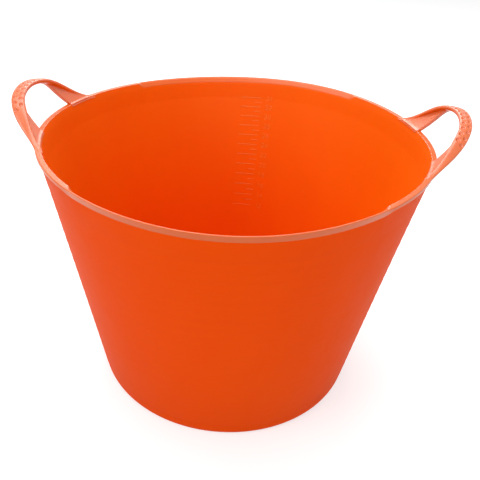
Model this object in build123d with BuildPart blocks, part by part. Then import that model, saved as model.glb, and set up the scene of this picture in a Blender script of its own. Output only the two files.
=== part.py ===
from build123d import *
import math
import os

# A flexible mixing tub of about 38 litres with two loop handles.
# The real tub is one moulding of soft polyethylene. Each region of the moulding is a solid
# of its own here, and the regions meet face to face.
# Origin: centre of the base, on the ground. +Z up, the handles on the X axis, +Y to the back.

os.makedirs("parts", exist_ok=True)

# Overall sizes, in millimetres
rim_height = 326.0            # ground to the top of the rim
rim_radius = 225.0            # outer edge of the rim
lip_overhang = 1.5            # rim's edge beyond the wall's outer face, carried up to the rim's height
base_radius = 171.0           # outer face of the wall, carried down to the ground
wall = 3.0                    # thickness of the side wall

# Bottom
floor_thickness = 3.0
floor_lift = 3.0              # underside of the floor above the ground
foot_width = 12.0             # flat ring that the tub stands on
heel_radius = 12.0            # outer round between foot and wall
heel_flat = 0.5               # flat left between the foot ring and the outer round
floor_corner_radius = 9.0     # inner round between floor and wall
gate_recess_radius = 14.0     # dished spot under the floor, round the moulding gate
gate_recess_depth = 0.8
gate_radius = 4.0             # stub left where the plastic entered the mould
gate_height = 1.4

# Rings round the outside of the wall
ring_step = 0.6               # how far the wall steps in below each ring
ring_pitch = 14.3
ring_margin = 1.0             # least height of the lowest ring above the heel
plain_band = 35.0             # smooth wall from the rim's top down to the first ring

# Rim
land_width = 6.0              # flat top of the rim beside the handles
lip_height = 4.5              # outside face of the lip
bead_height = 9.5             # thick part of the rim on the inside
bead_runout = 2.0             # slope from the thick part back to the wall
bevel_land = 2.2              # flat top left beside the pouring bevels
bevel_drop = 6.0
bevel_half_arc = 42.0         # degrees each side of front and rear centre
bevel_end_inset = 4.0         # axis of each bevel's rounded end, inside the rim's inner face
lip_fade = 9.0                # the lip runs into the wall at front and rear over this height

# Handles: a strap that rises from the rim's flat top, with its width level and across the rim,
# and a web in each corner between strap and rim
handle_slope = 60.0           # degrees above level
handle_height = 42.0          # rim's top to the top of the loop
strap_width = 12.0            # at the crown
root_width = 5.5              # strap's width where it leaves the rim
strap_thickness = 5.5
finger_gap_width = 90.0       # at the rim
finger_gap_lean = 28.0        # degrees that each side of the gap leans in
finger_gap_corner = 10.0      # round where the gap's side meets the strap
strap_inset = 15.0            # the crown's outer arc ends this far inside the gap's side
crown_drop = 4.0              # fall of the outer arc from the crown to its ends
web_spread = 43.0             # the strap reaches this far along the rim beyond the gap
flank_pull = 26.0             # pull of the flank curve where it leaves the crown
root_pull = 16.0              # and where it runs out on the rim
root_lift = 1.0               # rise of the flank over that pull
grip_half_length = 36.0

# Line where each handle bends when it is lifted
bend_rise = 15.0              # above the rim's top
bend_along = 51.0             # middle of each arm there, from the middle of the handle
knuckle_radius = 8.0
knuckle_clearance = 0.3
blank_margin = 1.0            # degrees that a handle's blank is turned beyond its roots

# Grip dimples
dimple_radius = 2.25
dimple_lift = 1.2             # centre of each dimple's ball above the strap's outer face
dimple_pitch = 6.2
dimple_rows = 3               # every other row has one dimple fewer, so that they alternate
dimple_row_pitch = 3.4

# Litre scale on the rear inner wall
scale_relief = 0.5            # height of ticks and numerals above the wall
scale_clearance = 0.02        # between the wall and the marks on it
scale_azimuth = 82.5          # degrees, the end of the ticks beside the numerals
first_litre = 12
litre_step = 2                # from one numbered tick to the next
long_tick = 33.0
short_tick = 12.0
tick_width = 1.2
numeral_height = 7.0
numeral_width = 4.2
numeral_gap = 6.0             # from the ticks to the first digit
numeral_stroke = 1.2
numeral_clearance = 0.2       # below the thick part of the rim

# Sizes that follow
wall_top_radius = rim_radius - lip_overhang              # outer face of the wall at the rim's height
taper = (wall_top_radius - base_radius) / rim_height
wall_angle = math.atan(taper)
wall_run = wall / math.cos(wall_angle)                   # the wall's thickness measured level
floor_top = floor_lift + floor_thickness
foot_radius = base_radius - heel_radius * math.tan(math.pi / 4.0 - wall_angle / 2.0) - heel_flat
floor_radius = foot_radius - foot_width
heel_top = floor_top + max(heel_radius, floor_corner_radius)
band_bottom = rim_height - plain_band
bead_bottom = rim_height - bead_height - bead_runout
land_radius = rim_radius - land_width                    # inner edge of the rim's flat top
ring_count = 1 + int((band_bottom - heel_top - ring_margin) / ring_pitch)
ring_heights = [band_bottom - ring_pitch * k for k in range(ring_count)]
slope = math.radians(handle_slope)
finger_gap_half = finger_gap_width / 2.0
crown_half = finger_gap_half - strap_inset
root_half = finger_gap_half + web_spread
bend_height = rim_height + bend_rise
handle_side = {"right": 1, "left": -1}
end_side = {"front": -1, "rear": 1}
far = 2.0 * rim_radius                                   # longer than any cut needs to be
cubic_mm_per_litre = 1e6


def outer_radius(z):
    """Radius of the outer face of the wall at height z, a straight taper."""
    return base_radius + taper * z


def inner_radius(z):
    """Radius of the inner face of the wall at height z."""
    return outer_radius(z) - wall_run


def bead_radius(z):
    """Inner face of the thick rim at height z. It tapers as the wall does."""
    return land_radius - taper * (rim_height - z)


def radial_plane(azimuth):
    """Upright plane through the tub's axis. Its x runs outwards at this azimuth, its y up."""
    a = math.radians(azimuth)
    return Plane(origin=(0, 0, 0), x_dir=(math.cos(a), math.sin(a), 0),
                 z_dir=(math.sin(a), -math.cos(a), 0))


def front_plane(side):
    """Upright plane across a handle. Its x runs along the rim and its y up from the rim's top."""
    return Plane(origin=(side * rim_radius, 0, rim_height), x_dir=(0, side, 0), z_dir=(side, 0, 0))


def litres_below(z):
    """Volume of the tapered inside from the floor up to height z."""
    low, high = inner_radius(floor_top), inner_radius(z)
    return math.pi / (3.0 * taper) * (high ** 3 - low ** 3) / cubic_mm_per_litre


def litre_height(litres):
    """Height to which this many litres fill the inside: the inverse of litres_below."""
    low = inner_radius(floor_top)
    high = (low ** 3 + 3.0 * taper * litres * cubic_mm_per_litre / math.pi) ** (1.0 / 3.0)
    return floor_top + (high - low) / taper


def mark_section(low, high):
    """Corners of a thin section on the inner wall from height low to height high."""
    back, front = scale_clearance, scale_clearance + scale_relief
    return [(inner_radius(low) - back, low), (inner_radius(high) - back, high),
            (inner_radius(high) - front, high), (inner_radius(low) - front, low)]


def arc_degrees(length, radius):
    """Angle that an arc of this length takes at this radius."""
    return math.degrees(length / radius)


def arc_radius(half_chord, rise):
    """Radius of the arc through both ends of a chord and a point this far above its middle."""
    return (half_chord ** 2 + rise ** 2) / (2.0 * rise)


def arc_height(along, top, radius):
    """Height at this distance from the middle of an arc that peaks at top."""
    return top - radius + math.sqrt(radius ** 2 - along ** 2)


def strap_middle(up):
    """Radius of the middle of the strap's width at this height above the rim's top."""
    return rim_radius - root_width / 2.0 + up / math.tan(slope)


def at_radius(side, radius, along, z):
    """Point of a handle at this radius, this far along from its middle."""
    return (side * math.sqrt(radius ** 2 - along ** 2), along, z)


fold_x = at_radius(1, strap_middle(bend_rise), bend_along, bend_height)[0]
last_litre = litre_step * int(
    litres_below(bead_bottom - numeral_height / 2.0 - numeral_clearance) / litre_step)
numbered = range(first_litre, last_litre + 1, litre_step)

# ---------------------------------------------------------------- bottom

with BuildPart() as floor_disc:
    with BuildSketch(Plane.XY.offset(floor_lift)):
        Circle(floor_radius)
    extrude(amount=floor_thickness)
    with BuildSketch(Plane.XY.offset(floor_lift)):
        Circle(gate_recess_radius)
    extrude(amount=gate_recess_depth, mode=Mode.SUBTRACT)
floor_disc.part.label = "floor_disc"
export_step(floor_disc.part, "parts/floor_disc.step")

with BuildPart() as gate_stub:
    with BuildSketch(Plane.XY.offset(floor_lift + gate_recess_depth)):
        Circle(gate_radius)
    extrude(amount=-gate_height)
gate_stub.part.label = "gate_stub"
export_step(gate_stub.part, "parts/gate_stub.step")

with BuildPart() as foot_ring:
    with BuildSketch():
        Circle(foot_radius)
        Circle(floor_radius, mode=Mode.SUBTRACT)
    extrude(amount=floor_top)
foot_ring.part.label = "foot_ring"
export_step(foot_ring.part, "parts/foot_ring.step")

with BuildPart() as heel_ring:
    with BuildSketch(Plane.XZ) as heel_section:
        with BuildLine():
            Polyline((foot_radius, 0), (base_radius, 0), (outer_radius(heel_top), heel_top),
                     (inner_radius(heel_top), heel_top), (inner_radius(floor_top), floor_top),
                     (foot_radius, floor_top), close=True)
        make_face()
        corner = heel_section.vertices().sort_by_distance((base_radius, 0, 0))[0]
        fillet(corner, heel_radius)
        corner = heel_section.vertices().sort_by_distance((inner_radius(floor_top), floor_top, 0))[0]
        fillet(corner, floor_corner_radius)
    revolve(axis=Axis.Z)
heel_ring.part.label = "heel_ring"
export_step(heel_ring.part, "parts/heel_ring.step")

# ---------------------------------------------------------------- wall

ring_outline = []
for z_ring, z_next in zip(ring_heights, ring_heights[1:] + [heel_top]):
    ring_outline.append((outer_radius(z_ring) - ring_step, z_ring))
    ring_outline.append((outer_radius(z_next), z_next))

with BuildPart() as side_wall:
    with BuildSketch(Plane.XZ):
        with BuildLine():
            Polyline((inner_radius(heel_top), heel_top), (inner_radius(band_bottom), band_bottom),
                     *ring_outline, close=True)
        make_face()
    revolve(axis=Axis.Z)
side_wall.part.label = "side_wall"
export_step(side_wall.part, "parts/side_wall.step")

with BuildPart() as plain_top_band:
    with BuildSketch(Plane.XZ):
        with BuildLine():
            Polyline((inner_radius(band_bottom), band_bottom), (outer_radius(band_bottom), band_bottom),
                     (outer_radius(bead_bottom), bead_bottom), (inner_radius(bead_bottom), bead_bottom),
                     close=True)
        make_face()
    revolve(axis=Axis.Z)
plain_top_band.part.label = "plain_top_band"
export_step(plain_top_band.part, "parts/plain_top_band.step")

# ---------------------------------------------------------------- rim

thick_rim_top = rim_height - bead_height
bead_inside = [(bead_radius(thick_rim_top), thick_rim_top), (inner_radius(bead_bottom), bead_bottom),
               (outer_radius(bead_bottom), bead_bottom)]
lip_bottom = rim_height - lip_height
bevel_bottom = rim_height - bevel_drop
bevel_foot = bead_radius(bevel_bottom)
bevel_flare = (rim_radius - bevel_land - bevel_foot) / bevel_drop
fade_bottom = rim_height - lip_fade
rim_half_arc = 90.0 - bevel_half_arc                     # of the rim that carries a handle

for name, azimuth in {"front_pouring_rim": -90.0, "rear_pouring_rim": 90.0}.items():
    with BuildPart() as pouring_rim:
        with BuildSketch(radial_plane(azimuth - bevel_half_arc)):
            with BuildLine():
                Polyline((rim_radius, rim_height), (rim_radius - bevel_land, rim_height),
                         (bevel_foot, bevel_bottom), *bead_inside,
                         (outer_radius(fade_bottom), fade_bottom), close=True)
            make_face()
        revolve(axis=Axis.Z, revolution_arc=2.0 * bevel_half_arc)
    pouring_rim.part.label = name
    export_step(pouring_rim.part, f"parts/{name}.step")

for side_name, side in handle_side.items():
    middle_azimuth = 90.0 - 90.0 * side
    with BuildPart() as handle_rim:
        with BuildSketch(radial_plane(middle_azimuth - rim_half_arc)):
            with BuildLine():
                Polyline((rim_radius, rim_height), (land_radius, rim_height), *bead_inside,
                         (outer_radius(lip_bottom), lip_bottom), (rim_radius, lip_bottom), close=True)
            make_face()
        revolve(axis=Axis.Z, revolution_arc=2.0 * rim_half_arc)
        for end in end_side.values():
            tip = (bevel_foot - bevel_end_inset, bevel_bottom - bevel_end_inset / bevel_flare)
            with Locations(radial_plane(middle_azimuth + end * rim_half_arc).from_local_coords(tip)):
                Cone(0, bevel_flare * (rim_height - tip[1]), rim_height - tip[1],
                     align=(Align.CENTER, Align.CENTER, Align.MIN), mode=Mode.SUBTRACT)
    handle_rim.part.label = f"{side_name}_handle_rim"
    export_step(handle_rim.part, f"parts/{side_name}_handle_rim.step")

# ---------------------------------------------------------------- handles

crown_arc = arc_radius(crown_half, crown_drop)
crown_tilt = math.asin(crown_half / crown_arc)
fall = (math.cos(crown_tilt), -math.sin(crown_tilt))     # direction of the outline where the crown ends


def half_outline(inset):
    """Points of one flank's curve, from the end of the crown's arc to the rim, this far inside the outline."""
    x, y = crown_half + inset * fall[1], handle_height - crown_drop - inset * fall[0]
    return [(x, y), (x + flank_pull * fall[0], y + flank_pull * fall[1]),
            (root_half - root_pull - inset, root_lift - inset), (root_half - inset, -inset)]


below_rim = -2.0 * strap_thickness                       # lower than any handle, where cuts may end
blank_half_arc = math.degrees(math.asin(root_half / rim_radius)) + blank_margin
dimples_in_row = 1 + 2 * int((grip_half_length - dimple_radius) / dimple_pitch)

outlines = []
for inset in (0.0, strap_thickness):
    flank = half_outline(inset)
    crown_x, crown_y = flank[0]
    root_x, root_y = flank[-1]
    with BuildSketch() as outline:
        with BuildLine():
            Bezier(*[(-x, y) for x, y in flank])
            ThreePointArc((-crown_x, crown_y), (0, handle_height - inset), (crown_x, crown_y))
            Bezier(*flank)
            Polyline((root_x, root_y), (root_x, below_rim), (-root_x, below_rim), (-root_x, root_y))
        make_face()
    outlines.append(outline.sketch)
loop_outline, strap_inside = outlines

gap_top_half = finger_gap_half - handle_height * math.tan(math.radians(finger_gap_lean))
with BuildSketch() as finger_gap:
    add(strap_inside)
    with BuildLine():
        Polyline((-finger_gap_half, 0), (finger_gap_half, 0), (gap_top_half, handle_height),
                 (-gap_top_half, handle_height), close=True)
    make_face(mode=Mode.INTERSECT)
    for x in (-gap_top_half, gap_top_half):
        corner = finger_gap.vertices().sort_by_distance((x, handle_height, 0))[0]
        fillet(corner, finger_gap_corner)

blank_height = handle_height + strap_thickness           # the blank stands higher than the loop cut from it

for side_name, side in handle_side.items():
    middle_azimuth = 90.0 - 90.0 * side
    with BuildPart() as handle_blank:
        with BuildSketch(radial_plane(middle_azimuth - blank_half_arc)):
            with BuildLine():
                Polyline((rim_radius - root_width, rim_height), (rim_radius, rim_height),
                         (strap_middle(blank_height) + strap_width / 2.0, rim_height + blank_height),
                         (strap_middle(blank_height) - strap_width / 2.0, rim_height + blank_height),
                         close=True)
            make_face()
        revolve(axis=Axis.Z, revolution_arc=2.0 * blank_half_arc)
        with BuildSketch(front_plane(side)):
            add(loop_outline)
        extrude(amount=handle_height, both=True, mode=Mode.INTERSECT)
        with BuildSketch(front_plane(side)):
            add(finger_gap.sketch)
        extrude(amount=handle_height, both=True, mode=Mode.SUBTRACT)

    with BuildPart() as grip:
        add(handle_blank.part)
        with BuildSketch(Plane.XY):
            with Locations((side * rim_radius, 0)):
                Rectangle(far, 2.0 * grip_half_length)
        extrude(amount=far, mode=Mode.INTERSECT)
        dimple_places = []
        for row in range(dimple_rows):
            count = dimples_in_row - row % 2
            row_offset = (row - (dimple_rows - 1) / 2.0) * dimple_row_pitch
            for k in range(count):
                along = (k - (count - 1) / 2.0) * dimple_pitch
                up = arc_height(along, handle_height, crown_arc)
                radius = strap_middle(up) + row_offset
                dimple_places.append(at_radius(side, radius, along, rim_height + up + dimple_lift))
        with Locations(*dimple_places):
            Sphere(dimple_radius, mode=Mode.SUBTRACT)
    grip.part.label = f"{side_name}_grip"
    export_step(grip.part, f"parts/{side_name}_grip.step")

    for end_name, end in end_side.items():
        cut_start = Plane.XZ.offset(grip_half_length if end < 0 else -root_half)
        with BuildPart() as arm:
            add(handle_blank.part)
            with BuildSketch(cut_start):
                with Locations((side * fold_x, bend_height)):
                    Circle(knuckle_radius)
                    Rectangle(far, far, align=(Align.CENTER, Align.MIN))
            extrude(amount=root_half - grip_half_length, mode=Mode.INTERSECT)
        arm.part.label = f"{side_name}_{end_name}_arm"
        export_step(arm.part, f"parts/{side_name}_{end_name}_arm.step")

        with BuildPart() as web:
            add(handle_blank.part)
            with BuildSketch(cut_start):
                with Locations((side * fold_x, bend_height)):
                    Rectangle(far, far, align=(Align.CENTER, Align.MAX))
                    Circle(knuckle_radius + knuckle_clearance, mode=Mode.SUBTRACT)
            extrude(amount=root_half - grip_half_length, mode=Mode.INTERSECT)
        web.part.label = f"{side_name}_{end_name}_web"
        export_step(web.part, f"parts/{side_name}_{end_name}_web.step")

# ---------------------------------------------------------------- litre scale

with BuildPart() as litre_ticks:
    for litres in range(first_litre, last_litre + 1):
        z = litre_height(litres)
        low, high = z - tick_width / 2.0, z + tick_width / 2.0
        length = long_tick if litres in numbered else short_tick
        with BuildSketch(radial_plane(scale_azimuth)):
            with BuildLine():
                Polyline(*mark_section(low, high), close=True)
            make_face()
        revolve(axis=Axis.Z, revolution_arc=arc_degrees(length, inner_radius(z)))
litre_ticks.part.label = "litre_ticks"
export_step(litre_ticks.part, "parts/litre_ticks.step")

# Each digit as the strokes that draw it, on a grid one unit wide and two high
digit_strokes = {
    "0": [((0, 0), (1, 0), (1, 2), (0, 2), (0, 0))],
    "1": [((0.2, 1.6), (0.6, 2), (0.6, 0))],
    "2": [((0, 2), (1, 2), (1, 1), (0, 1), (0, 0), (1, 0))],
    "3": [((0, 2), (1, 2), (1, 0), (0, 0)), ((0.3, 1), (1, 1))],
    "4": [((0, 2), (0, 0.8), (1, 0.8)), ((0.75, 1.6), (0.75, 0))],
    "5": [((1, 2), (0, 2), (0, 1), (1, 1), (1, 0), (0, 0))],
    "6": [((1, 2), (0, 2), (0, 0), (1, 0), (1, 1), (0, 1))],
    "7": [((0, 2), (1, 2), (0.4, 0))],
    "8": [((0, 0), (1, 0), (1, 2), (0, 2), (0, 0)), ((0, 1), (1, 1))],
    "9": [((1, 1), (0, 1), (0, 2), (1, 2), (1, 0), (0, 0))],
}

stroke_across = numeral_width - numeral_stroke
stroke_half_height = (numeral_height - numeral_stroke) / 2.0
grid_middle = 1.0             # of the grid's height

with BuildPart() as litre_numerals:
    for litres in numbered:
        z = litre_height(litres)
        radius = inner_radius(z)
        digits = str(litres)
        digit_pitch = numeral_width + numeral_stroke
        label_width = len(digits) * digit_pitch
        turn = scale_azimuth - arc_degrees(numeral_gap + label_width / 2.0, radius)
        a = math.radians(turn)
        facing_in = Plane(origin=(radius * math.cos(a), radius * math.sin(a), z),
                          x_dir=(math.sin(a), -math.cos(a), 0), z_dir=(-math.cos(a), -math.sin(a), 0))
        with BuildSketch(facing_in):
            for place, digit in enumerate(digits):
                left = place * digit_pitch - label_width / 2.0 + numeral_stroke
                for stroke in digit_strokes[digit]:
                    with BuildLine():
                        Polyline(*[(left + x * stroke_across, (y - grid_middle) * stroke_half_height)
                                   for x, y in stroke])
                    trace(line_width=numeral_stroke)
        extrude(amount=numeral_height, both=True)
    low, high = litre_height(first_litre) - numeral_height, litre_height(last_litre) + numeral_height
    with BuildSketch(Plane.XZ):
        with BuildLine():
            Polyline(*mark_section(low, high), close=True)
        make_face()
    revolve(axis=Axis.Z, mode=Mode.INTERSECT)
litre_numerals.part.label = "litre_numerals"
export_step(litre_numerals.part, "parts/litre_numerals.step")
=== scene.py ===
import math

import bpy
import numpy as np
from mathutils import Matrix, Vector


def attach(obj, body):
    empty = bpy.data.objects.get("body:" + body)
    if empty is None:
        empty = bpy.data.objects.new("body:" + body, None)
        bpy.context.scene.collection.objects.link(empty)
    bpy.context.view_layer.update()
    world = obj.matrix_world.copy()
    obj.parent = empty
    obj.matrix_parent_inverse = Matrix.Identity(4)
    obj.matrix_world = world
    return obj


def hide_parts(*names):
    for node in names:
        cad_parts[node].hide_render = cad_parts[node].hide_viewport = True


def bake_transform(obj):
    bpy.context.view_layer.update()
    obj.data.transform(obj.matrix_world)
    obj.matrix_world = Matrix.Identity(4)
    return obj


# A flexible mixing tub of soft polyethylene with two loop handles.
# Lengths below are in millimetres, as on a moulding drawing, and meshes are made in metres.

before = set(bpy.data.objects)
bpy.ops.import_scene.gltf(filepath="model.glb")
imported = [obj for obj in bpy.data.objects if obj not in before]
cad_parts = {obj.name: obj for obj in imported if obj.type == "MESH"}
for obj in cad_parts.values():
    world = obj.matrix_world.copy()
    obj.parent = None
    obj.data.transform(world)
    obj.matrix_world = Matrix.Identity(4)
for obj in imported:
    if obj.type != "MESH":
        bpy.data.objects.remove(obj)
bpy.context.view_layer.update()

MM = 0.001

# ---------------------------------------------------------------- sizes

# bowl
rim_height = 326.0
rim_radius = 225.0
wall_top_radius = 223.5
base_radius = 171.0
wall_thickness = 3.0
taper = (wall_top_radius - base_radius) / rim_height
wall_run = wall_thickness * math.hypot(1.0, taper)  # the wall's thickness measured level

# floor and foot
floor_underside = 3.0
floor_top = 6.0
floor_corner = 9.0
foot_radius = 160.3
floor_radius = 148.3
heel_radius = 12.0
gate_recess_radius = 13.2
gate_recess_depth = 0.8

# rings stepped into the outside of the wall
ring_step = 0.6
ring_pitch = 14.3
plain_band = 35.0
ring_count = 20

# rim: its flat top, the lip under it, the thicker band inside, and the two pouring bevels
land_radius = 219.0
lip_height = 4.5
lip_fade = 9.0
bead_height = 9.5
bead_bottom = 297.0
bevel_land = 2.2
bevel_drop = 6.0
bevel_half_arc = 42.0
bevel_end_inset = 4.0

# handle: a curved sheet, and the outline of the strap's loop on it
slope_at_rim = 49.0
slope_at_crown = 69.0
handle_reach = 48.7
crown_half = 31.0
crown_drop = 4.5
flank_pull = 28.0
root_pull = 18.0
root_half = 92.0
root_run_on = 14.0  # how far the strap runs on inside the rim

# strap: its section at the rim and from strap_rise upwards
strap_width = 14.0
root_width = 5.6
strap_thickness = 6.0
root_thickness = 4.4
strap_rise = 36.0
strap_tilt = 5.0
strap_squareness = 3.4

# finger gap and webs
gap_half = 45.0
gap_lean = 0.24
gap_corner = 11.0
web_thickness = 5.0
web_root = 3.5
web_flare = 2.2
web_flare_height = 3.0

# dimples in the grip
dimple_count = 12
dimple_pitch = 9.8
dimple_row_pitch = 6.4
dimple_depth = 1.8
dimple_floor_radius = 0.8
dimple_side_run = 2.0

# how each soft handle stands, left and right: degrees steeper, sway along the rim, stretch
handle_set = {-1: (-1.0, -5.0, 0.97), 1: (-4.5, 8.0, 1.05)}

# litre scale on the inner wall
scale_azimuth = 82.5
first_litre, last_litre = 12, 36
long_tick, short_tick = 33.0, 12.0
tick_width, stroke_width = 1.3, 1.2
mark_height = 0.5
mark_sunk = 0.15
numeral_gap = 6.0
digit_pitch = 5.5
digit_width = 3.6
digit_half_height = 3.1

skin_cell = 0.6  # cell in which strap and webs are joined to one skin
grid_count = 160  # points along half a handle's outline


def outer_radius(z):
    return base_radius + taper * z


def inner_radius(z):
    return outer_radius(z) - wall_run


def bead_radius(z):
    return land_radius - taper * (rim_height - z)


# ---------------------------------------------------------------- mesh tools

def settle(points):
    """How the soft tub stands. Each radius grows by a few waves round the tub: two waves, in step with the
    height, make it oval, and one and five waves, with the height squared, lean and dent the rim. The rim also
    waves up and down by a millimetre or two. Every wave is a size times the cosine of its count times the
    azimuth from its crest."""
    x, y, z = points[..., 0], points[..., 1], points[..., 2]
    azimuth = np.arctan2(y, x)
    share = np.clip(z / rim_height, 0.0, 1.3)

    def waves(count, size, crest):
        return size * np.cos(count * (azimuth - math.radians(crest)))

    grow = (1.0 + share * waves(2, 0.0274, 37.6)
            + share ** 2 * (waves(1, 0.0139, -53.4) + waves(5, 0.0046, -12.2)))
    lift = (np.minimum(share, 1.0) ** 4
            * (waves(2, 1.94, 6.0) + waves(1, 0.47, -125.4) + waves(3, 1.07, -48.6)))
    return np.stack([x * grow, y * grow, z + lift], -1)


def grid_faces(rows, columns, wrap_rows=False, wrap_columns=False):
    """Quads of a grid of vertices numbered row by row, as one array."""
    r = np.arange(rows if wrap_rows else rows - 1)
    c = np.arange(columns if wrap_columns else columns - 1)
    r, c = np.meshgrid(r, c, indexing="ij")
    r2, c2 = (r + 1) % rows, (c + 1) % columns
    quad = np.stack([r * columns + c, r * columns + c2, r2 * columns + c2, r2 * columns + c], -1)
    return quad.reshape(-1, 4)


def make_piece(name, points, faces):
    """A smooth mesh object at the origin, from points in millimetres and lists of corners."""
    mesh = bpy.data.meshes.new(name)
    mesh.from_pydata((points.reshape(-1, 3) * MM).tolist(), [], faces)
    mesh.shade_smooth()
    mesh.update()
    piece = bpy.data.objects.new(name, mesh)
    bpy.context.scene.collection.objects.link(piece)
    return piece


def rounded_profile(corners, cuts, steps):
    """A polyline with its corners rounded, for many sections at once.
    corners has shape (sections, corners, 2). Each inner corner gives way to a quadratic curve that starts and
    ends at its cut distance from the corner, along the two sides. steps is the points on each curve."""
    corners = np.asarray(corners, float)
    run = [corners[:, :1]]
    for i in range(1, corners.shape[1] - 1):
        here, before, after = corners[:, i], corners[:, i - 1], corners[:, i + 1]
        back, forth = before - here, after - here
        back_length = np.linalg.norm(back, axis=-1, keepdims=True)
        forth_length = np.linalg.norm(forth, axis=-1, keepdims=True)
        a = here + back / back_length * np.minimum(cuts[i], 0.49 * back_length)
        b = here + forth / forth_length * np.minimum(cuts[i], 0.49 * forth_length)
        t = np.linspace(0.0, 1.0, steps[i])[None, :, None]
        run.append((1 - t) ** 2 * a[:, None] + 2 * t * (1 - t) * here[:, None] + t ** 2 * b[:, None])
    run.append(corners[:, -1:])
    return np.concatenate(run, axis=1)


def smooth_step(x):
    """0 to 1 in an S-shaped run as x goes from 0 to 1."""
    x = np.clip(x, 0.0, 1.0)
    return x * x * (3.0 - 2.0 * x)


# ---------------------------------------------------------------- tub shell

def shell_azimuths():
    """Azimuths in degrees, evenly spaced, with more of them round each end of the pouring bevels."""
    even = np.arange(0.0, 360.0, 1.0)
    near = np.concatenate([centre + side * bevel_half_arc + np.arange(-6.0, 6.01, 0.4)
                           for centre in (90.0, 270.0) for side in (-1, 1)])
    return np.unique(np.round(np.concatenate([even, near]) % 360.0, 3))


def tub_sections(azimuth):
    """The tub's section at each azimuth, from the middle of the floor over the rim to the middle of the
    underside. The rim's top is flat beside the handles. Between the ends of each pouring bevel it slopes down
    to the inside, and past those ends the slope is a cone that runs out into the flat. Also returns the first
    and the last point of the rim on the section."""
    from_front = np.abs((azimuth % 180.0) - 90.0)
    past_end = np.clip(from_front - bevel_half_arc, 0.0, None)
    slope = (rim_radius - bevel_land - bead_radius(rim_height - bevel_drop)) / bevel_drop
    foot = bead_radius(rim_height - bevel_drop)
    tip = foot - bevel_end_inset
    tip_z = rim_height - bevel_drop - bevel_end_inset / slope
    along = tip * np.radians(past_end)

    def bevel_top(r):
        """Height of the rim's top at radius r: the lower of the flat and the bevel's slope or end cone."""
        return np.minimum(rim_height, tip_z + np.hypot(r - tip, along) / slope)

    inner_top = bevel_top(np.full_like(azimuth, foot + 0.3))
    r_inner = bead_radius(inner_top)
    top_points = [r_inner + (rim_radius - r_inner) * share for share in (0.25, 0.5, 0.75)]
    lip = smooth_step((past_end + 0.5) / 4.0)
    lip_low = rim_height - (lip_fade + (lip_height - lip_fade) * lip)
    under = outer_radius(lip_low)
    lip_edge = rim_radius * lip + under * (1.0 - lip)
    bead_top = rim_height - bead_height

    # each entry: radius, height, how far the corner is cut back, and the points on its curve
    wave = [(0.0, floor_top, 0.0, 1),
            (90.0, floor_top, 1.0, 1),
            (inner_radius(floor_top), floor_top, floor_corner, 8),
            (inner_radius(90.0), 90.0, 1.0, 1),
            (inner_radius(200.0), 200.0, 1.0, 1),
            (inner_radius(bead_bottom), bead_bottom, 1.0, 4),
            (bead_radius(bead_top), bead_top, 1.0, 4),
            (r_inner, inner_top, 0.9, 5)]
    wave += [(r, bevel_top(r), 0.4, 2) for r in top_points]
    wave += [(rim_radius, rim_height, 1.1, 6),
             (lip_edge, lip_low + 0.02, 0.6, 3),
             (under, lip_low - 0.02, 0.8, 3)]
    for k in range(ring_count):
        z = rim_height - plain_band - ring_pitch * k
        wave += [(outer_radius(z), z, 0.35, 3), (outer_radius(z) - ring_step, z, 0.5, 3)]
    recess = floor_underside + gate_recess_depth
    wave += [(outer_radius(0.0), 0.0, heel_radius, 9),
             (foot_radius - 0.5, 0.0, 0.3, 1),
             (floor_radius, 0.0, 0.8, 3),
             (floor_radius, floor_underside, 0.8, 3),
             (gate_recess_radius + gate_recess_depth, floor_underside, 0.4, 3),
             (gate_recess_radius, recess, 0.4, 3),
             (0.0, recess, 0.0, 1)]
    radii, heights, cuts, steps = zip(*wave)
    corners = np.stack([np.stack(np.broadcast_arrays(r, z, azimuth)[:2], -1) for r, z in zip(radii, heights)],
                       axis=1)
    ends = np.cumsum((1,) + steps[1:-1])
    return rounded_profile(corners, cuts, steps), int(ends[6]), int(ends[11])


def make_tub():
    """The whole bowl as one skin: the section at each azimuth is turned to its place, and two poles close it.
    Its faces are numbered 0 inside, 1 on the rim and 2 outside, for the three finishes."""
    azimuth = shell_azimuths()
    section, rim_first, rim_last = tub_sections(azimuth)
    r, z = section[..., 0], section[..., 1]
    turn = np.radians(azimuth)[:, None]
    inner = r[:, 1:-1]
    points = np.stack([inner * np.cos(turn), inner * np.sin(turn), z[:, 1:-1]], -1)
    count, ring = points.shape[:2]
    poles = np.array([[0.0, 0.0, z[0, 0]], [0.0, 0.0, z[0, -1]]])
    first, last = count * ring, count * ring + 1
    quads = grid_faces(count, ring, wrap_rows=True)
    a = np.arange(count)
    b = (a + 1) % count
    fans = np.concatenate([np.stack([np.full(count, first), a * ring, b * ring], -1),
                           np.stack([np.full(count, last), b * ring + ring - 1, a * ring + ring - 1], -1)])
    piece = make_piece("tub_shell", settle(np.concatenate([points.reshape(-1, 3), poles])),
                       quads.tolist() + fans.tolist())
    step = np.tile(np.arange(ring - 1), count)
    zone = np.where(step < rim_first - 1, 0, np.where(step < rim_last - 1, 1, 2))
    zone = np.concatenate([zone, np.zeros(count, int), np.full(count, 2)])
    piece.data.polygons.foreach_set("material_index", zone.astype(np.int32))
    return piece


# ---------------------------------------------------------------- handles

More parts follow.
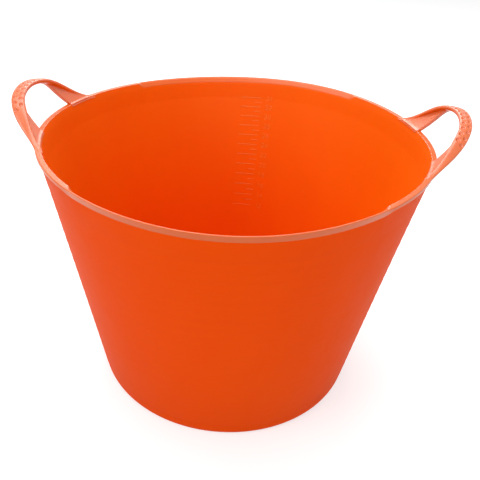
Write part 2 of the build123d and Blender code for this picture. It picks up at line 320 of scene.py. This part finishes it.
def loop_point(side, along, rise, across):
    """Point of a handle. along is the distance from the handle's middle, and rise goes up from the rim's top
    on a curved sheet that stands steep at the rim and leans out further up: its slope grows evenly with the
    rise, so it is an arc of a circle. across leaves the sheet towards the inside of the tub, in the direction
    of the strap's width. Each handle also has its own set: it leans more or less and sways along the rim."""
    steeper, sway, stretch = handle_set[side]
    along, rise, across = np.broadcast_arrays(*(np.asarray(v, float) for v in (along, rise, across)))
    rise = np.where(rise > 0, rise * stretch, rise)
    start, end = math.radians(slope_at_rim + steeper), math.radians(slope_at_crown + steeper)
    turn = (end - start) / handle_reach
    angle = start + turn * np.clip(rise, 0.0, None)
    out = np.where(rise > 0, (np.sin(angle) - math.sin(start)) / turn, rise * math.cos(start))
    up = np.where(rise > 0, (math.cos(start) - np.cos(angle)) / turn, rise * math.sin(start))
    tilt = math.radians(strap_tilt) * smooth_step(rise / strap_rise)
    r = rim_radius - root_width / 2.0 + out - across * np.cos(tilt)
    z = rim_height + up + across * np.sin(tilt)
    y = along + sway * np.clip(rise / handle_reach, 0.0, None)
    return np.stack([side * np.sqrt(np.maximum(r ** 2 - y ** 2, 1.0)), y, z], -1)


def outer_line(count=80):
    """Outer outline of one half of the loop as (along, rise): an arc over the crown, then a cubic flank that
    runs out level on the rim."""
    radius = (crown_half ** 2 + crown_drop ** 2) / (2.0 * crown_drop)
    tilt = math.asin(crown_half / radius)
    a = np.linspace(0.0, tilt, count // 2)
    crown = np.stack([radius * np.sin(a), handle_reach - radius + radius * np.cos(a)], -1)
    fall = np.array([math.cos(tilt), -math.sin(tilt)])
    p = np.array([crown[-1], crown[-1] + flank_pull * fall, [root_half - root_pull, 0.0], [root_half, 0.0]])
    t = np.linspace(0.0, 1.0, count)[1:, None]
    flank = (1 - t) ** 3 * p[0] + 3 * t * (1 - t) ** 2 * p[1] + 3 * t ** 2 * (1 - t) * p[2] + t ** 3 * p[3]
    return np.concatenate([crown, flank])


def even_points(line, count):
    """The same line with its points evenly spaced."""
    step = np.linalg.norm(np.diff(line, axis=0), axis=1)
    s = np.concatenate([[0.0], np.cumsum(step)])
    t = np.linspace(0.0, s[-1], count)
    return np.stack([np.interp(t, s, line[:, k]) for k in range(line.shape[1])], -1)


def unit(v):
    """The same vectors with a length of 1."""
    return v / np.linalg.norm(v, axis=-1, keepdims=True)


def inward_of(line):
    """Directions at right angles to a line that runs towards larger along: into the loop."""
    tangent = unit(np.gradient(line, axis=0))
    return np.stack([tangent[:, 1], -tangent[:, 0]], -1)


def strap_frame(side):
    """Places and directions along the strap's outer face, from past one root over the crown to past the
    other: the face's middle line, the unit vectors across and into the strap, its width and its thickness.
    Past its roots the strap sinks into the rim and gets smaller."""
    half = even_points(outer_line(), 120)
    past = np.stack([root_half + np.linspace(1.0, root_run_on, 10), np.zeros(10)], -1)
    half = np.concatenate([half, past])
    line = np.concatenate([half[:0:-1] * [-1, 1], half])
    root = 1.0 - smooth_step(line[:, 1] / strap_rise)
    width = strap_width + (root_width - strap_width) * root
    thick = strap_thickness + (root_thickness - strap_thickness) * root
    # above the rim the strap widens towards the inside of the tub only
    face = loop_point(side, line[:, 0], line[:, 1], 1.0 - root)
    beyond = np.clip((np.abs(line[:, 0]) - root_half) / root_run_on, 0.0, 1.0)
    face[:, 2] -= 0.1 * root + 1.2 * beyond
    forward = unit(np.gradient(face, axis=0))
    within = line + inward_of(line)
    into = loop_point(side, within[:, 0], within[:, 1], 0.0) - loop_point(side, line[:, 0], line[:, 1], 0.0)
    level = smooth_step(root)[:, None]
    into = unit(into * (1.0 - level) + np.array([0.0, 0.0, -1.0]) * level)
    across = loop_point(side, line[:, 0], line[:, 1], 1.0) - loop_point(side, line[:, 0], line[:, 1], 0.0)
    across = unit(across - forward * np.sum(across * forward, -1, keepdims=True))
    into = into - forward * np.sum(into * forward, -1, keepdims=True)
    into = unit(into - across * np.sum(into * across, -1, keepdims=True))
    return face, across, into, width * (1.0 - 0.2 * beyond), thick * (1.0 - 0.3 * beyond)


def strap_skin(side):
    """The strap: a section carried round the loop, a rounded rectangle between an ellipse and a square."""
    face, across, into, width, thick = strap_frame(side)
    a = np.linspace(0.0, 2.0 * math.pi, 36, endpoint=False)
    power = 2.0 / strap_squareness
    c = np.sign(np.cos(a)) * np.abs(np.cos(a)) ** power
    d = np.sign(np.sin(a)) * np.abs(np.sin(a)) ** power
    centre = face + into * thick[:, None] / 2.0
    return (centre[:, None] + across[:, None] * (c[None, :, None] * width[:, None, None] / 2.0)
            + into[:, None] * (d[None, :, None] * thick[:, None, None] / 2.0))


def gap_side():
    """Side of the finger gap as (along, rise): straight and leaning in from the rim, then a round that runs
    out along the strap's inner face."""
    line = even_points(outer_line(), grid_count)
    inner = line + inward_of(line) * strap_thickness
    meet = int(np.argmax(inner[:, 0] > gap_half - gap_lean * inner[:, 1]))
    corner = inner[meet]
    foot = np.array([gap_half, 0.0])
    start = corner + unit(foot - corner) * gap_corner
    step = np.linalg.norm(inner[1] - inner[0])
    stop = inner[meet - int(gap_corner / step)]
    t = np.linspace(0.0, 1.0, 16)[:, None]
    return np.concatenate([[foot], (1 - t) ** 2 * start + 2 * t * (1 - t) * corner + t ** 2 * stop])


def web_skin(side, end):
    """A web: a plate in the corner between rim and strap, from the side of the finger gap to inside the
    strap. Its foot starts inside the rim and flares where it leaves it."""
    line = even_points(outer_line(), grid_count)
    middle = line + inward_of(line) * strap_thickness / 2.0
    gap = gap_side()
    rise = np.concatenate([np.linspace(-web_root, 0.0, 6)[:-1], np.linspace(0.0, gap[-1, 1], 60)])
    gap_along = np.interp(rise, gap[:, 1], gap[:, 0])
    order = np.argsort(middle[:, 1])
    strap_along = np.interp(rise, middle[order, 1], middle[order, 0])
    share = np.linspace(0.0, 1.0, 30)
    along = end * (gap_along[:, None] * (1 - share) + strap_along[:, None] * share)
    rise = rise[:, None] + 0.0 * along
    flare = np.where(rise < -0.5, 0.0, web_flare * np.clip(1.0 - rise / web_flare_height, 0.0, 1.0) ** 2)
    upper = loop_point(side, along, rise, web_thickness / 2.0 + flare)
    low = loop_point(side, along, rise, -web_thickness / 2.0)
    return upper, low


def join_skins(name, skins):
    """One piece of several closed skins, each given as its points and its faces."""
    points, faces, first = [], [], 0
    for skin_points, skin_faces in skins:
        points.append(skin_points.reshape(-1, 3))
        faces += [[corner + first for corner in face] for face in skin_faces]
        first += len(points[-1])
    return make_piece(name, np.concatenate(points), faces)


def closed_tube(ring):
    """A tube of rings with both ends closed, as its points and its faces."""
    rows, columns = ring.shape[:2]
    faces = grid_faces(rows, columns, wrap_columns=True).tolist()
    faces.append(list(range(columns)))
    faces.append([(rows - 1) * columns + k for k in reversed(range(columns))])
    return ring, faces


def closed_plate(upper, low):
    """A plate between two grids of the same shape, closed round its edge, as its points and its faces."""
    rows, columns = upper.shape[:2]
    ring = np.concatenate([upper, low[:, ::-1]], axis=1)
    around = 2 * columns
    faces = grid_faces(rows, around, wrap_columns=True).tolist()
    for row, flip in ((0, False), (rows - 1, True)):
        base = row * around
        for k in range(columns - 1):
            face = [base + k, base + k + 1, base + around - 2 - k, base + around - 1 - k]
            faces.append(face[::-1] if flip else face)
    return ring, faces


def dimple_places(side):
    """Centres of the grip's dimples and the directions into the strap there: two rows along the strap's outer
    face, the second half a pitch further on."""
    face, across, into, _, _ = strap_frame(side)
    step = np.linalg.norm(np.diff(face, axis=0), axis=1)
    s = np.concatenate([[0.0], np.cumsum(step)])
    s -= s[-1] / 2.0
    places, depths = [], []
    for row in (-0.5, 0.5):
        at = (np.arange(dimple_count) - (dimple_count - 1) / 2.0 + row / 2.0) * dimple_pitch
        face_at, across_at, into_at = (np.stack([np.interp(at, s, v[:, k]) for k in range(3)], -1)
                                       for v in (face, across, into))
        places.append(face_at + across_at * row * dimple_row_pitch)
        depths.append(into_at)
    return np.concatenate(places), unit(np.concatenate(depths))


def make_handle(name, side):
    """One handle: strap and webs become one skin, get soft inner corners, and the dimples are pressed in.
    Each dimple is a bowl with a level floor and an S-shaped side. Only faces that look outwards get one."""
    skins = [closed_tube(strap_skin(side))] + [closed_plate(*web_skin(side, end)) for end in (-1, 1)]
    piece = join_skins(name, skins)
    join = piece.modifiers.new("one_skin", "REMESH")
    join.mode = "VOXEL"
    join.voxel_size = skin_cell * MM
    soften = piece.modifiers.new("soften", "SMOOTH")
    soften.factor = 0.5
    soften.iterations = 4
    bpy.context.view_layer.update()
    done = bpy.data.meshes.new_from_object(piece.evaluated_get(bpy.context.evaluated_depsgraph_get()))
    piece.modifiers.clear()
    piece.data = done
    done.name = name

    points, normals = np.zeros((2, len(done.vertices) * 3))
    done.vertices.foreach_get("co", points)
    done.vertex_normals.foreach_get("vector", normals)
    points, normals = points.reshape(-1, 3) / MM, normals.reshape(-1, 3)
    centres, into = dimple_places(side)
    distance = np.linalg.norm(points[:, None] - centres[None], axis=-1)
    into = into[distance.argmin(axis=1)]
    bowl = dimple_depth * (1.0 - smooth_step((distance.min(axis=1) - dimple_floor_radius) / dimple_side_run))
    faces_out = np.clip(-np.sum(normals * into, -1) * 2.0 - 0.4, 0.0, 1.0)
    points = settle(points + into * (bowl * faces_out)[:, None]) * MM
    done.vertices.foreach_set("co", points.astype(np.float32).ravel())
    done.shade_smooth()
    done.update()
    return piece


# ---------------------------------------------------------------- litre scale

def litre_height(litres):
    """Height to which this many litres fill the inside, a cone's frustum whose radius grows by the taper."""
    cubic_mm = litres * 1e6
    low = inner_radius(floor_top)
    high = (low ** 3 + 3.0 * taper * cubic_mm / math.pi) ** (1.0 / 3.0)
    return floor_top + (high - low) / taper


def wall_point(azimuth, z, proud):
    """Point on the inner wall at this azimuth in radians and height, standing proud of it by this much."""
    r = inner_radius(z) - proud
    return np.stack([r * np.cos(azimuth), r * np.sin(azimuth), z + 0.0 * r], -1)


def ridge(line, width):
    """A low rounded bar on the inner wall along a line of (azimuth, height) points, as its points and faces.
    Its section is a flattened half circle, and it narrows to nothing over half its width at both ends."""
    flat = np.stack([-line[:, 0] * inner_radius(line[:, 1]), line[:, 1]], -1)
    forward = unit(np.gradient(flat, axis=0))
    sideways = np.stack([-forward[:, 1], forward[:, 0]], -1)
    s = np.concatenate([[0.0], np.cumsum(np.linalg.norm(np.diff(flat, axis=0), axis=1))])
    end = np.clip(np.minimum(s, s[-1] - s) / (width / 2.0), 0.02, 1.0)
    fade = np.sqrt(1.0 - (1.0 - end) ** 2)
    a = np.linspace(0.0, math.pi, 7)
    over = np.cos(a)[None, :] * (width / 2.0 * fade)[:, None]
    proud = np.sin(a)[None, :] * (mark_height * fade)[:, None] - mark_sunk
    spot = flat[:, None] + sideways[:, None] * over[..., None]
    z = spot[..., 1]
    ring = wall_point(-spot[..., 0] / inner_radius(z), z, proud)
    return ring, grid_faces(ring.shape[0], ring.shape[1], wrap_columns=True).tolist()


def arc(cx, cy, rx, ry, start, stop, count=14):
    """Points of an ellipse's arc between two angles in degrees, on a digit's grid."""
    a = np.radians(np.linspace(start, stop, count))
    return np.stack([cx + rx * np.cos(a), cy + ry * np.sin(a)], -1)


def bar(*corners):
    """Points of straight runs through these corners, eight to a run."""
    corners = np.asarray(corners, float)
    runs = [np.linspace(p, q, 8)[:-1] for p, q in zip(corners, corners[1:])]
    return np.concatenate(runs + [corners[-1:]])


# Each digit as curves on a grid one unit wide and two high
digit_lines = {
    "0": [arc(0.5, 1.0, 0.5, 1.0, 90, 450, 30)],
    "1": [bar((0.15, 1.55), (0.55, 2.0), (0.55, 0.0))],
    "2": [np.concatenate([arc(0.5, 1.45, 0.5, 0.55, 160, -30), bar((0.85, 1.05), (0.0, 0.0), (1.0, 0.0))])],
    "3": [arc(0.45, 1.5, 0.5, 0.5, 150, -90), arc(0.45, 0.5, 0.55, 0.5, 90, -150)],
    "4": [bar((0.75, 0.0), (0.75, 2.0), (0.0, 0.6), (1.05, 0.6))],
    "6": [np.concatenate([arc(0.9, 0.7, 0.9, 1.3, 95, 180), arc(0.5, 0.55, 0.5, 0.55, 180, 520, 24)])],
    "8": [arc(0.5, 1.48, 0.42, 0.5, -90, 270, 22), arc(0.5, 0.5, 0.5, 0.5, 90, 450, 22)],
}


def make_scale():
    """Ticks at each litre, long at the even ones, and a numeral beside each long one."""
    ticks, numerals = [], []
    start = math.radians(scale_azimuth)
    for litres in range(first_litre, last_litre + 1):
        z = litre_height(litres)
        radius = inner_radius(z)
        length = long_tick if litres % 2 == 0 else short_tick
        turn = start + np.linspace(0.0, length / radius, 12)
        ticks.append(ridge(np.stack([turn, np.full(12, z)], -1), tick_width))
        if litres % 2:
            continue
        for place, digit in enumerate(str(litres)):
            for line in digit_lines[digit]:
                across = numeral_gap + place * digit_pitch + line[:, 0] * digit_width
                high = z + (line[:, 1] - 1.0) * digit_half_height
                numerals.append(ridge(np.stack([start - across / radius, high], -1), stroke_width))
    return [join_skins(name, [(settle(points), faces) for points, faces in skins])
            for name, skins in (("scale_ticks", ticks), ("scale_numerals", numerals))]


# ---------------------------------------------------------------- materials

def linear(hex_colour):
    """sRGB hex to a linear RGBA colour."""
    channels = [int(hex_colour[k:k + 2], 16) / 255.0 for k in (1, 3, 5)]
    return [c / 12.92 if c <= 0.04045 else ((c + 0.055) / 1.055) ** 2.4 for c in channels] + [1.0]


def add_node(tree, kind, settings=None, inputs=None, links=None):
    """Adds one node: its properties, its socket values and the links into its sockets."""
    node = tree.nodes.new(kind)
    for key, value in (settings or {}).items():
        setattr(node, key, value)
    for key, value in (inputs or {}).items():
        node.inputs[key].default_value = value
    for key, source in (links or {}).items():
        tree.links.new(source, node.inputs[key])
    return node


def polyethylene(name, base, deep, roughness, gloss):
    """Injection-moulded low-density polyethylene, coloured through: waxy, half glossy, and letting a little
    light into its surface. base and deep are its two tones, and gloss is how much white it mirrors."""
    material = bpy.data.materials.new(name)
    material.use_nodes = True
    tree = material.node_tree
    shader = tree.nodes["Principled BSDF"]
    place = add_node(tree, "ShaderNodeTexCoord")
    # flow marks from filling the mould: broad, tall and faint, about 60 mm wide and 180 mm tall
    stretch = add_node(tree, "ShaderNodeMapping", inputs={"Scale": (1.0, 1.0, 0.35)},
                       links={"Vector": place.outputs["Object"]})
    flow = add_node(tree, "ShaderNodeTexNoise", inputs={"Scale": 16.0, "Detail": 3.0, "Roughness": 0.5},
                    links={"Vector": stretch.outputs["Vector"]})
    tint = add_node(tree, "ShaderNodeMix", {"data_type": "RGBA"},
                    {6: linear(deep), 7: linear(base)}, {"Factor": flow.outputs["Fac"]})
    tree.links.new(tint.outputs[2], shader.inputs["Base Color"])
    # mould texture: spark-eroded steel leaves a grain of about 0.4 mm, drawn at 1.5 mm so that it shows, on
    # the shallow ripple of a soft wall, about 20 mm from crest to crest
    grain = add_node(tree, "ShaderNodeTexNoise", inputs={"Scale": 650.0, "Detail": 2.0},
                     links={"Vector": place.outputs["Object"]})
    ripple = add_node(tree, "ShaderNodeTexNoise", inputs={"Scale": 45.0, "Detail": 2.0},
                      links={"Vector": place.outputs["Object"]})
    soft = add_node(tree, "ShaderNodeBump", inputs={"Strength": 0.18, "Distance": 0.0012},
                    links={"Height": ripple.outputs["Fac"]})
    fine = add_node(tree, "ShaderNodeBump", inputs={"Strength": 0.12, "Distance": 0.0002},
                    links={"Height": grain.outputs["Fac"], "Normal": soft.outputs["Normal"]})
    tree.links.new(fine.outputs["Normal"], shader.inputs["Normal"])
    # handling polishes the crests of the ripple a little
    rub = add_node(tree, "ShaderNodeMapRange",
                   inputs={"To Min": roughness - 0.05, "To Max": roughness + 0.07},
                   links={"Value": ripple.outputs["Fac"]})
    tree.links.new(rub.outputs["Result"], shader.inputs["Roughness"])
    shader.inputs["IOR"].default_value = 1.51
    shader.inputs["Specular IOR Level"].default_value = gloss
    shader.inputs["Subsurface Weight"].default_value = 0.15
    shader.inputs["Subsurface Radius"].default_value = (1.0, 0.3, 0.08)
    shader.inputs["Subsurface Scale"].default_value = 0.004
    return material


# ---------------------------------------------------------------- making

# One plastic, whose finish is left by each part of the mould: satin inside, more matt outside, and polished
# on the rim and the handles. The raised marks are painted paler than the wall, a painted highlight for the
# light their raised tops catch.
# painted light: the inside's base is lighter and yellower than the outside's, though it is the same plastic
inside_plastic = polyethylene("moulded polyethylene, inside", "#EE6904", "#EA6203", 0.45, 0.15)
outside_plastic = polyethylene("moulded polyethylene, outside", "#EE5002", "#EA4A00", 0.55, 0.04)
# painted highlight: the marks' base is paler than the wall's for the light they catch, though they are the
# same plastic
painted_highlight_mark_plastic = polyethylene("moulded polyethylene, marks painted paler as highlight", "#EE7414", "#EA6E10", 0.4, 0.4)
# painted shade: the rim and the handles get a base with less red than the wall's, set against the stronger
# sheen the lamps give them; it is the same plastic
rim_plastic = polyethylene("moulded polyethylene, rim", "#D8600E", "#D2580A", 0.3, 0.45)
handle_plastic = polyethylene("moulded polyethylene, handles", "#D8600E", "#D2580A", 0.3, 1.0)

tub = make_tub()
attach(tub, "tub")
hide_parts("floor_disc", "foot_ring", "heel_ring", "side_wall", "plain_top_band", "front_pouring_rim",
            "rear_pouring_rim", "left_handle_rim", "right_handle_rim")
for plastic in (inside_plastic, rim_plastic, outside_plastic):
    tub.data.materials.append(plastic)

for name, side in (("left", -1), ("right", 1)):
    handle = make_handle(f"{name}_loop", side)
    handle.data.materials.clear()
    handle.data.materials.append(handle_plastic)
    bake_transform(handle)
    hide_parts(f"{name}_grip", f"{name}_front_arm", f"{name}_rear_arm", f"{name}_front_web",
                f"{name}_rear_web")

ticks, numerals = make_scale()
for piece, node in ((ticks, "litre_ticks"), (numerals, "litre_numerals")):
    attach(piece, "tub")
    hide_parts(node)
    piece.data.materials.append(painted_highlight_mark_plastic)

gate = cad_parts["gate_stub"]
gate.data.materials.clear()
gate.data.materials.append(outside_plastic)

# ---------------------------------------------------------------- studio

scene = bpy.context.scene
scene.view_settings.view_transform = "Standard"

# Camera: in front of the tub, looking down into it and rolled a little
elevation, roll = math.radians(32.66), math.radians(4.285)
aim = Vector((0.0101, 0.0, 0.1759))
distance = 0.7797
camera_data = bpy.data.cameras.new("camera")
camera_data.sensor_width = 36.0
camera_data.lens = 44.44
camera = bpy.data.objects.new("camera", camera_data)
scene.collection.objects.link(camera)
right = Vector((1, 0, 0))
up = Vector((0, math.sin(elevation), math.cos(elevation)))
ahead = Vector((0, math.cos(elevation), -math.sin(elevation)))
turned_right = right * math.cos(roll) + up * math.sin(roll)
turned_up = up * math.cos(roll) - right * math.sin(roll)
turn = Matrix((turned_right, turned_up, -ahead)).transposed().to_4x4()
camera.matrix_world = Matrix.Translation(aim - ahead * distance) @ turn
scene.camera = camera


def seen_ray(tree):
    """1 for a ray from the camera, or one that is mirrored or goes through something, and 0 for light."""
    rays = add_node(tree, "ShaderNodeLightPath")
    direct = add_node(tree, "ShaderNodeMath", {"operation": "MAXIMUM"},
                      links={0: rays.outputs["Is Camera Ray"], 1: rays.outputs["Is Glossy Ray"]})
    return add_node(tree, "ShaderNodeMath", {"operation": "MAXIMUM"},
                    links={0: direct.outputs[0], 1: rays.outputs["Is Transmission Ray"]})


# Floor: plain and pale, white to the camera, and grey enough to take a shadow
floor_half = 4000.0
floor_corners = np.array([(-1, -1, 0), (1, -1, 0), (1, 1, 0), (-1, 1, 0)]) * floor_half
floor = make_piece("studio_floor", floor_corners, [(0, 1, 2, 3)])
paper = bpy.data.materials.new("white studio paper")
paper.use_nodes = True
tree = paper.node_tree
matt = tree.nodes["Principled BSDF"]
matt.inputs["Base Color"].default_value = linear("#C8C8C8")
matt.inputs["Roughness"].default_value = 0.95
matt.inputs["Specular IOR Level"].default_value = 0.0
matt.inputs["Emission Color"].default_value = (1, 1, 1, 1)
seen = seen_ray(tree)
glow = add_node(tree, "ShaderNodeMath", {"operation": "MULTIPLY"}, {1: 0.58}, {0: seen.outputs[0]})
tree.links.new(glow.outputs[0], matt.inputs["Emission Strength"])
floor.data.materials.append(paper)

# World: soft white light, plain white behind the object
world = bpy.data.worlds.new("studio")
scene.world = world
world.use_nodes = True
tree = world.node_tree
background = tree.nodes["Background"]
background.inputs["Color"].default_value = (1, 1, 1, 1)
level = add_node(tree, "ShaderNodeMapRange", inputs={"To Min": 0.6, "To Max": 1.0},
                 links={"Value": seen_ray(tree).outputs[0]})
tree.links.new(level.outputs["Result"], background.inputs["Strength"])


def soft_box(name, place, height, size, watts):
    """A lamp with a wide face, at a place in metres, that faces a point at this height on the tub's axis."""
    data = bpy.data.lights.new(name, "AREA")
    data.shape = "RECTANGLE"
    data.size, data.size_y = size
    data.energy = watts
    lamp = bpy.data.objects.new(name, data)
    lamp.location = place
    lamp.rotation_euler = (Vector((0, 0, height)) - Vector(place)).to_track_quat("-Z", "Y").to_euler()
    scene.collection.objects.link(lamp)


soft_box("top_soft_box", (-0.2, 0.2, 1.8), 0.2, (1.5, 1.5), 21.0)
soft_box("rear_soft_box", (-0.2, 2.0, 1.5), 0.3, (1.6, 0.8), 18.0)
soft_box("left_soft_box", (-1.5, -0.9, 1.3), 0.2, (1.0, 1.0), 9.0)
soft_box("front_soft_box", (0.4, -2.0, 0.8), 0.15, (1.2, 1.0), 10.0)
